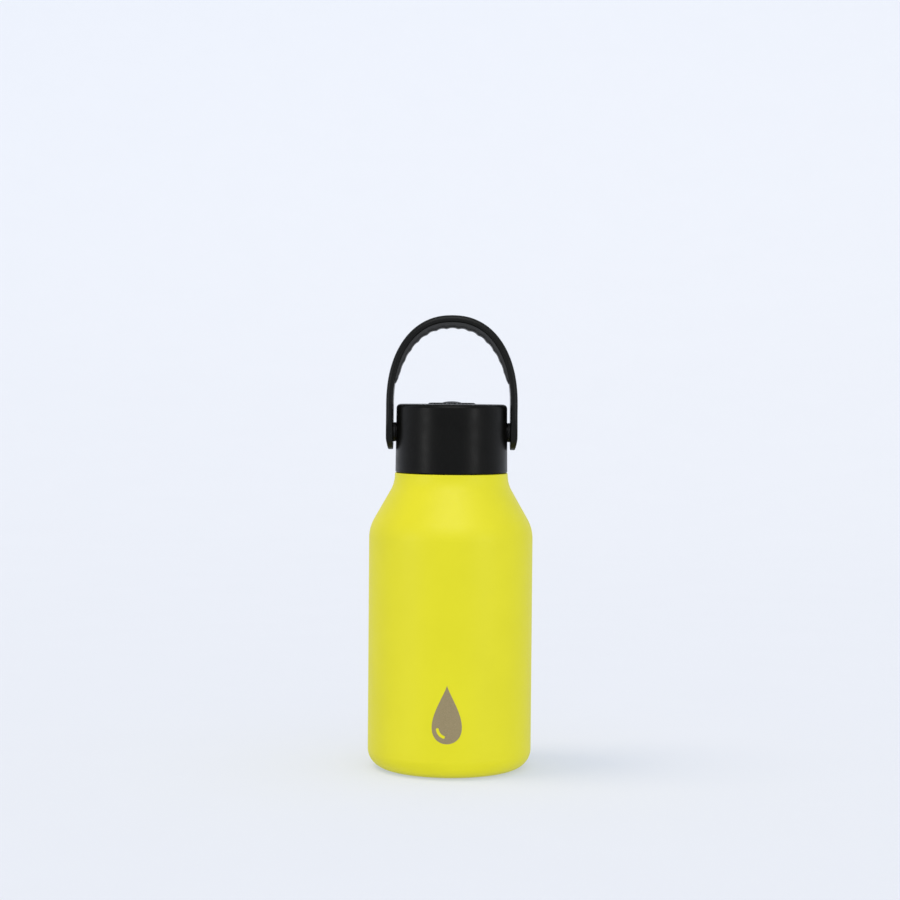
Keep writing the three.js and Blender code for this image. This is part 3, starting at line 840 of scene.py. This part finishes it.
def lid_cover():
    """The black cover with its two pivot pads and their bores."""
    ceiling = lid_top - LID_TOP_THICKNESS
    recess_z = lid_top - BADGE_RECESS
    recess_r = badge_high.x + FIT_GAP
    well_z = recess_z - SCREW_WELL_DEPTH
    hub_z = well_z - HUB_THICKNESS
    hole = SCREW_RADIUS + FIT_GAP
    outline = rounded(
        (hole, hub_z, 0),
        (HUB_RADIUS, hub_z, HUB_EDGE),
        (HUB_RADIUS, ceiling, HUB_ROOT),
        (lid_face(ceiling) - LID_WALL, ceiling, LID_CORNER),
        (lid_radius - LID_WALL, lid_base, LID_MOUTH_EDGE),
        (lid_radius, lid_base, LID_FOOT_EDGE),
        (lid_face(lid_top), lid_top, LID_EDGE),
        (recess_r, lid_top, BADGE_RECESS_EDGE),
        (recess_r, recess_z, 0),
        (SCREW_WELL_RADIUS, recess_z, BADGE_RECESS_EDGE),
        (SCREW_WELL_RADIUS, well_z, 0),
        (hole, well_z, 0),
        step=LID_STEP,
    )
    cover = revolve("lid_cover", outline, LID_SIDES)
    middle = lid_face(pivot_z) - LID_WALL / 2
    low, high = middle - BORE_REACH, middle + BORE_REACH
    bore = PIN_RADIUS + FIT_GAP
    pads, bores = [], []
    for side in (1, -1):
        pads.append(
            pivot_disc(f"pad_{side}", side, PAD_RADIUS, middle, lid_high.x, edge=PAD_EDGE)
        )
        bores.append(pivot_disc(f"bore_{side}", side, bore, low, high))
    combined(cover, "UNION", *pads)
    return combined(cover, "DIFFERENCE", *bores)


def lid_moulding():
    """The thread skirt, the plug and the screw boss, in one moulding."""
    plug_floor = moulding_low.z + PLUG_FLOOR
    plate_low = gasket_high.z + FIT_GAP
    plate_top = plate_low + PLATE_THICKNESS
    cup = PLUG_RADIUS - PLUG_WALL
    hole = SCREW_RADIUS + FIT_GAP
    hole_floor = moulding_low.z + SCREW_HOLE_FLOOR
    skirt = moulding_high.x
    first_z = skirt_z + THREAD_HALF_ROOT + FIT_GAP / 2
    half_pitch = THREAD_LEAD / THREAD_STARTS / 2
    first_angle = (first_z - ledge_z - NECK_THREAD_RISE + half_pitch) / THREAD_LEAD * TURN

    def shape(angle, r, z):
        if abs(r - SKIRT_BORE) > SAME or z <= skirt_z + SAME:
            return r, z
        return r - THREAD_DEPTH * thread_height(angle, z, first_z, first_angle), z

    plug = rounded(
        (0, moulding_low.z, 0),
        (PLUG_RADIUS, moulding_low.z, PLUG_EDGE),
        (PLUG_RADIUS, plate_low, 0),
    )
    inside = rounded(
        (skirt, skirt_z, SKIRT_EDGE),
        (lid_face(plate_top) - LID_WALL - FIT_GAP, plate_top, PLATE_EDGE),
        (cup, plate_top, PLATE_EDGE),
        (cup, plug_floor, PLUG_CORNER),
        (BOSS_RADIUS, plug_floor, BOSS_ROOT),
        (BOSS_RADIUS, moulding_high.z, BOSS_EDGE),
        (hole, moulding_high.z, 0),
        (hole, hole_floor, 0),
    )
    bore = reversed(climb(SKIRT_BORE, skirt_z, plate_low))
    outline = [*plug, *bore, *inside, (0, hole_floor)]
    return revolve("lid_moulding", outline, THREAD_SIDES, shape=shape)


def gasket_ring():
    """The seal that the lip presses on: a square ring with a softer inner lip."""
    inner = PLUG_RADIUS + 2 * TOUCH
    outline = rounded(
        (inner, gasket_low.z + GASKET_LIP, GASKET_LIP_EDGE),
        (inner + GASKET_LIP, gasket_low.z, GASKET_INNER_EDGE),
        (gasket_high.x, gasket_low.z, GASKET_OUTER_EDGE),
        (gasket_high.x, gasket_high.z, GASKET_OUTER_EDGE),
        (inner, gasket_high.z, GASKET_INNER_EDGE),
    )
    return revolve("gasket_ring", outline, GASKET_SIDES)


def badge_outline():
    """Dome, groove and plain ring of the top badge, without its flutes."""
    plateau = lid_top + BADGE_PLATEAU
    rise = badge_high.z - plateau
    outwards, upwards = BADGE_DOME_POWERS
    dome = []
    for i in range(DOME_STEPS + 1):
        share = math.sin(QUARTER * (1 - i / DOME_STEPS))
        r = BADGE_DOME * share
        height = rise * (1 - share ** outwards) ** upwards
        dome.append((r if i < DOME_STEPS else 0, plateau + height))
    ring = [
        (BADGE_RING_INNER + (badge_ring_outer - BADGE_RING_INNER) * i / RING_STEPS, plateau)
        for i in reversed(range(RING_STEPS + 1))
    ]
    return [
        (0, badge_low.z),
        (badge_high.x, badge_low.z),
        (badge_high.x, plateau - BADGE_RIM_DROP),
        *ring,
        (BADGE_DOME + BADGE_GROOVE, plateau),
        *dome,
    ]


def top_badge():
    """The round trim on the lid's top: a low dome inside a ring of radial flutes."""
    plateau = lid_top + BADGE_PLATEAU
    flute_rise = BADGE_RING_RISE - BADGE_PLATEAU

    def shape(angle, r, z):
        if z != plateau or r < BADGE_RING_INNER:
            return r, z
        across = (r - BADGE_RING_INNER) / (badge_ring_outer - BADGE_RING_INNER)
        crown = min(1, FLUTE_END_SLOPE * across, FLUTE_END_SLOPE * (1 - across))
        wave = 0.5 + FLUTE_STEEPNESS * math.cos(BADGE_FLUTES * angle)
        return r, z + flute_rise * crown * max(0, min(1, wave))

    return revolve("badge", badge_outline(), BADGE_FLUTES * SIDES_PER_FLUTE, shape=shape)


# ---------------------------------------------------------------- pivots


def pivot_pin(side, name):
    """A snap-in pin: domed head, shank and a barbed, slotted end."""
    face = pin_high.x
    seat = face - PIN_HEAD_THICKNESS
    barb = PIN_RADIUS + PIN_BARB_STEP
    barb_face = pin_low.x + PIN_BARB_LENGTH
    outline = rounded(
        (0, pin_low.x, 0),
        (PIN_RADIUS, pin_low.x, PIN_SOFT_EDGE),
        (barb, barb_face, PIN_CRISP_EDGE),
        (PIN_RADIUS, barb_face, 0),
        (PIN_RADIUS, seat, PIN_ROOT),
        (PIN_HEAD, seat, PIN_CRISP_EDGE),
        (PIN_HEAD, face - PIN_HEAD_DROP, PIN_SOFT_EDGE),
        (PIN_HEAD * PIN_HEAD_FLAT, face, PIN_HEAD_DOME),
        (0, face, 0),
    )
    pin = revolve(name, outline, PIVOT_SIDES, on_pivot(side))
    slot_start = pin_low.x - SLOT_PAST
    slot_end = pin_low.x + (PIN_BARB_LENGTH + LID_WALL + SLOT_INTO_HOLE)
    slot = block(
        "slot",
        (side * slot_start, side * slot_end),
        (-SLOT_REACH, SLOT_REACH),
        (pivot_z - PIN_SLOT / 2, pivot_z + PIN_SLOT / 2),
    )
    return combined(pin, "DIFFERENCE", slot)


def friction_washer(side, name):
    """The washer between the lid's pad and the strap, which fills the gap between them."""
    start = lid_high.x + TOUCH
    end = washer_high.x + FIT_GAP - TOUCH
    hole = PIN_RADIUS + WASHER_GAP
    return pivot_disc(name, side, PAD_RADIUS, start, end, edge=WASHER_EDGE, hole=hole)


# ---------------------------------------------------------------- handle


class HandleLine:
    """The handle's outer line from the right leg's end over the arch to the left leg's end."""

    def __init__(self):
        leg = [
            Vector((arch_half_width, leg_end + (arch_z - leg_end) * i / LEG_STEPS))
            for i in range(LEG_STEPS)
        ]
        arch = [self.arch_point(HALF * i / ARCH_STEPS) for i in range(ARCH_STEPS + 1)]
        far_leg = [Vector((-p.x, p.y)) for p in reversed(leg)]
        self.points = leg + arch + far_leg
        self.along = [0.0]
        for a, b in zip(self.points, self.points[1:]):
            self.along.append(self.along[-1] + (b - a).length)
        self.length = self.along[-1]

    @staticmethod
    def arch_point(angle):
        """A point of the arch, which is the upper half of a superellipse."""
        across = abs(math.cos(angle)) ** (2 / ARCH_POWER) * math.copysign(1, math.cos(angle))
        up = abs(math.sin(angle)) ** (2 / ARCH_POWER)
        return Vector((arch_half_width * across, arch_z + ARCH_HEIGHT * up))

    def at(self, s):
        """The point at a distance along the line."""
        i = min(max(bisect_right(self.along, s) - 1, 0), len(self.points) - 2)
        share = (s - self.along[i]) / (self.along[i + 1] - self.along[i])
        return self.points[i].lerp(self.points[i + 1], share)

    def inward(self, s):
        """The direction from the line towards the inside of the arch."""
        ahead = self.at(min(s + LINE_REACH, self.length)) - self.at(max(s - LINE_REACH, 0))
        return Vector((-ahead.y, ahead.x)).normalized()


line = HandleLine()


def edge_layers():
    """(side, inset, depth) of a band's layers, from its outer face (side 0) to its inner one.
    inset and depth are shares of the edge's radius, across the band and through it."""
    layers = []
    for side in (0, 1):
        for i in range(EDGE_STEPS + 1):
            a = QUARTER * (1 - i / EDGE_STEPS if side else i / EDGE_STEPS)
            layers.append((side, 1 - math.sin(a), 1 - math.cos(a)))
    return layers


def band(name, start, end, half_width, corner, outer, inner, edges, pitch):
    """A band that follows the handle's line, with rounded ends and edges.

    outer and inner give its faces as distances inside the line, at a distance along it, and edges
    gives how far its outer and inner edges are rounded there."""
    first, last = start + corner, end - corner
    middle = math.ceil((end - start - 2 * corner) / pitch)
    end_edges = edges(first)

    def stations(side, inset):
        """(distance along the line, half width past the corner's centre) pairs of a layer."""
        radius = corner - inset * end_edges[side]
        turns = [QUARTER * i / END_STEPS for i in range(END_STEPS + 1)]
        near = [(first - radius * math.sin(a), radius * math.cos(a)) for a in reversed(turns)]
        far = [(last + radius * math.sin(a), radius * math.cos(a)) for a in turns]
        inner_part = []
        for i in range(1, middle):
            s = first + (end - start - 2 * corner) * i / middle
            inner_part.append((s, corner - inset * edges(s)[side]))
        return [*near, *inner_part, *far]

    points, rows = [], []
    for side, inset, depth in edge_layers():
        row = []
        for s, y in stations(side, inset):
            edge = edges(s)[side] if first < s < last else end_edges[side]
            edge = min(edge, EDGE_SHARE * (inner(s) - outer(s)))
            distance = inner(s) - depth * edge if side else outer(s) + depth * edge
            spot = line.at(s) + line.inward(s) * distance
            across = half_width - corner + y
            points.append((spot.x, -across, spot.y))
            points.append((spot.x, across, spot.y))
            row.append((len(points) - 2, len(points) - 1))
        rows.append(row)
    faces = []
    for row, after in zip(rows, rows[1:]):
        for i in range(len(row) - 1):
            for half in (0, 1):
                faces.append((row[i][half], row[i + 1][half], after[i + 1][half], after[i][half]))
        for i in (0, len(row) - 1):
            faces.append((row[i][0], row[i][1], after[i][1], after[i][0]))
    for row in (rows[0], rows[-1]):
        for i in range(len(row) - 1):
            faces.append((row[i][0], row[i][1], row[i + 1][1], row[i + 1][0]))
    return mesh_object(name, points, faces)


def eye_draw_in(s):
    """How far the strap's outer face draws in near its ends."""
    from_end = min(s, line.length - s)
    share = max(0, 1 - from_end / EYE_TAPER_LENGTH)
    return EYE_TAPER * share ** EYE_TAPER_POWER


def eye_cutter(side):
    """The bore and the counterbore for the pin's head, flared at the strap's face."""
    floor = pin_high.x - PIN_HEAD_THICKNESS - FIT_GAP
    face = arch_half_width
    bore = PIN_RADIUS + FIT_GAP
    well = PIN_HEAD + FIT_GAP
    inside = washer_high.x - EYE_CUT_INSIDE
    outside = face + EYE_CUT_OUTSIDE
    outline = [
        (0, inside),
        (bore, inside),
        (bore, floor),
        (well, floor),
        (well, face - EYE_FLARE_DEPTH),
        (well + EYE_FLARE, face + EYE_FLARE_RISE),
        (well + EYE_FLARE, outside),
        (0, outside),
    ]
    return revolve(f"eye_{side}", outline, PIVOT_SIDES, on_pivot(side))


def strap_edges(s):
    """The strap's edges are tight round its eyes and well rounded above them."""
    from_end = min(s, line.length - s)
    share = min(1, max(0, (from_end - strap_half_width) / EDGE_GROWTH))
    ease = share * share * (3 - 2 * share)
    return [EYE_EDGE + (full - EYE_EDGE) * ease for full in (STRAP_OUTER_EDGE, STRAP_INNER_EDGE)]


def handle_strap():
    """The stiff strap, with fully round ends and an eye in each."""
    strap = band(
        "handle_strap",
        start=0,
        end=line.length,
        half_width=strap_half_width,
        corner=strap_half_width - END_FLAT,
        outer=eye_draw_in,
        inner=lambda s: STRAP_THICKNESS,
        edges=strap_edges,
        pitch=STRAP_PITCH,
    )
    return combined(strap, "DIFFERENCE", eye_cutter(1), eye_cutter(-1))


def grip_start():
    """Distance along the line at which the grip begins: where it reaches the grip's height."""
    s = 0
    step = 0.05
    while line.at(s).y < grip_low.z:
        s += step
    return s


def handle_grip():
    """The soft ribbed pad inside the strap, which thins out to its two ends."""
    start = grip_start()
    end = line.length - start
    half = (end - start) / 2

    def inner(s):
        from_top = min(1, abs(s - start - half) / half)
        full = GRIP_THICKNESS + (GRIP_END_THICKNESS - GRIP_THICKNESS) * from_top ** 2
        wave = math.sin(math.pi * GRIP_RIBS * (s - start) / (end - start))
        scallop = GRIP_SCALLOP * full / GRIP_THICKNESS
        hollow = scallop * (math.sqrt(wave ** 2 + GRIP_CREST) - GRIP_CREST_LEVEL)
        tip = min(1, half * (1 - from_top) / GRIP_TIP_LENGTH)
        growth = tip ** GRIP_TIP_POWER
        thick = GRIP_TIP_THICKNESS + (full - hollow - GRIP_TIP_THICKNESS) * growth
        return STRAP_THICKNESS + FIT_GAP * tip + thick

    def edges(s):
        return GRIP_BOND_EDGE, min(GRIP_EDGE, EDGE_SHARE * (inner(s) - STRAP_THICKNESS))

    return band(
        "handle_grip_pad",
        start=start,
        end=end,
        half_width=grip_high.y,
        corner=GRIP_CORNER,
        outer=lambda s: STRAP_THICKNESS - TOUCH,
        inner=inner,
        edges=edges,
        pitch=GRIP_PITCH,
    )


# ---------------------------------------------------------------- the pieces

place_piece(bottle_coat(), coat, "bottle", "powder_coat", "outer_shell")
place_piece(etched_drop(), etched, "bottle", "bare_steel")
place_piece(steel_neck(), turned_steel, "bottle", "bare_steel", "outer_shell")
place_piece(steel_liner(), turned_steel, "bottle", "bare_steel", "inner_liner", "inner_base")
place_piece(base_pan(), coat, "bottle", "powder_coat", "outer_base")
place_piece(base_disc(), coat, "bottle", "powder_coat", "base_cover")
place_piece(gasket_ring(), silicone, "seal", "silicone", "lid_gasket")
place_piece(lid_cover(), lid_black, "lid", "lid_plastic", "lid_cap")
place_piece(lid_moulding(), inner_black, "lid", "inner_plastic", "lid_inner_cap")
place_piece(top_badge(), lid_black, "lid", "lid_plastic", "top_badge")
place_piece(handle_strap(), handle_black, "handle", "handle_plastic", "handle_bail")
place_piece(handle_grip(), grip_grey, "handle", "grip_rubber", "handle_grip")
for side, word in ((1, "right"), (-1, "left")):
    pin = pivot_pin(side, f"{word}_pin")
    washer = friction_washer(side, f"{word}_friction_washer")
    place_piece(pin, handle_black, "lid", "handle_plastic", f"{word}_pivot_pin")
    place_piece(washer, washer_black, "lid", "washer_rubber", f"{word}_washer")

CARRIED_OVER = {
    "seal_bead": bead_glass,
    "getter_clip": plain_steel,
    "getter": getter_grey,
    "lid_foam": foam_white,
    "lid_screw": plain_steel,
}
for node, material in CARRIED_OVER.items():
    give_material(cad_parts[node], material)

# ---------------------------------------------------------------- floor, light and camera

# Lights and their places are in metres.
LID_MIDDLE = (0, 0, 0.14)


def bowl_floor():
    """A pale floor, lit from within, that curves up softly far away on every side."""
    flat = 900
    radius = 2200
    rim = 300
    sides = 96
    wall = arc(flat, radius, radius, -QUARTER, 0)
    outline = [(0, 0), *wall, (flat + radius, radius + rim)]
    points = []
    for r, z in outline:
        for i in range(sides):
            angle = TURN * i / sides
            points.append((r * math.cos(angle), r * math.sin(angle), z))
    faces = []
    for k in range(len(outline) - 1):
        for i in range(sides):
            j = (i + 1) % sides
            low, high = k * sides, (k + 1) * sides
            faces.append((low + i, low + j, high + j, high + i))
    floor = mesh_object("floor", points, faces)
    n = Nodes("floor_paper")
    n.colours(n.noise(size=60, detail=2), PAPER_DARK, PAPER_LIGHT)
    n.roughness(n.noise(size=20, detail=2), low=0.7, high=0.8)
    n.set(Emission_Color=PAPER_GLOW, Emission_Strength=1, Specular_IOR_Level=0)
    floor.data.materials.append(n.material)
    floor.visible_shadow = False  # the far lamps stand outside and shine through the wall


def studio_world(colour, strength):
    """Even light from all round."""
    world = bpy.data.worlds.new("studio")
    bpy.context.scene.world = world
    world.use_nodes = True
    background = world.node_tree.nodes["Background"]
    background.inputs["Color"].default_value = (*colour, 1)
    background.inputs["Strength"].default_value = strength


def add_lamp(name, light, place, aim, gloss_only):
    """Puts a light at a place, aimed at a point, for gloss alone or for everything but gloss."""
    lamp = bpy.data.objects.new(name, light)
    lamp.location = place
    lamp.rotation_euler = (Vector(aim) - Vector(place)).to_track_quat("-Z", "Y").to_euler()
    lamp.visible_camera = False
    lamp.visible_glossy = gloss_only
    lamp.visible_diffuse = not gloss_only
    bpy.context.scene.collection.objects.link(lamp)


def panel(name, place, width, height, power):
    """A white softbox that shows only as a gloss, mostly on the black plastic."""
    light = bpy.data.lights.new(name, "AREA")
    light.shape = "RECTANGLE"
    light.size, light.size_y = width, height
    light.energy = power
    add_lamp(name, light, place, LID_MIDDLE, gloss_only=True)


def far_lamp(name, place, spread, power, colour):
    """A far lamp, which lights the floor evenly. spread is its width in degrees."""
    light = bpy.data.lights.new(name, "SUN")
    light.angle = math.radians(spread)
    light.energy = power
    light.color = colour
    add_lamp(name, light, place, (0, 0, 0), gloss_only=False)


def round_bottle(azimuth, distance, height):
    """A place on a circle round the bottle. Azimuth 0 is the front and 90 degrees the right."""
    a = math.radians(azimuth)
    return (distance * math.sin(a), -distance * math.cos(a), height)


bowl_floor()
studio_world(colour=(0.9, 0.945, 1), strength=0.7)
far_lamp("front", round_bottle(12, 2, 0.14), spread=50, power=1, colour=(1, 1, 0.96))
far_lamp("top", (0.3, -0.5, 2), spread=80, power=0.58, colour=(1, 0.98, 0.95))
far_lamp("key", round_bottle(-82, 1, 1.9), spread=28, power=1.1, colour=(1, 0.86, 0.6))
panel("top_box", (0, -0.75, 1), width=0.9, height=0.8, power=6.5)
panel("left_strip", round_bottle(-55, 0.8, 0.18), width=0.16, height=0.32, power=0.95)
panel("right_strip", round_bottle(47, 0.8, 0.18), width=0.15, height=0.32, power=0.8)

CAMERA_DISTANCE = 850
CAMERA_HEIGHT = 161.8
CAMERA_SHIFT = -0.87
CAMERA_PITCH = 0.0306
CAMERA_ROLL = 0.0081
CAMERA_LENS = 79.47
CAMERA_SENSOR = 36
CAMERA_CLIP = (0.01, 50)  # in metres

camera = bpy.data.cameras.new("camera")
camera.lens = CAMERA_LENS
camera.sensor_width = CAMERA_SENSOR
camera.clip_start, camera.clip_end = CAMERA_CLIP
eye = bpy.data.objects.new("camera", camera)
eye.location = Vector((CAMERA_SHIFT, -CAMERA_DISTANCE, CAMERA_HEIGHT)) * MM
eye.rotation_euler = (TURN / 4 - CAMERA_PITCH, -CAMERA_ROLL, 0)
bpy.context.scene.collection.objects.link(eye)
bpy.context.scene.camera = eye
bpy.context.scene.view_settings.view_transform = "Standard"
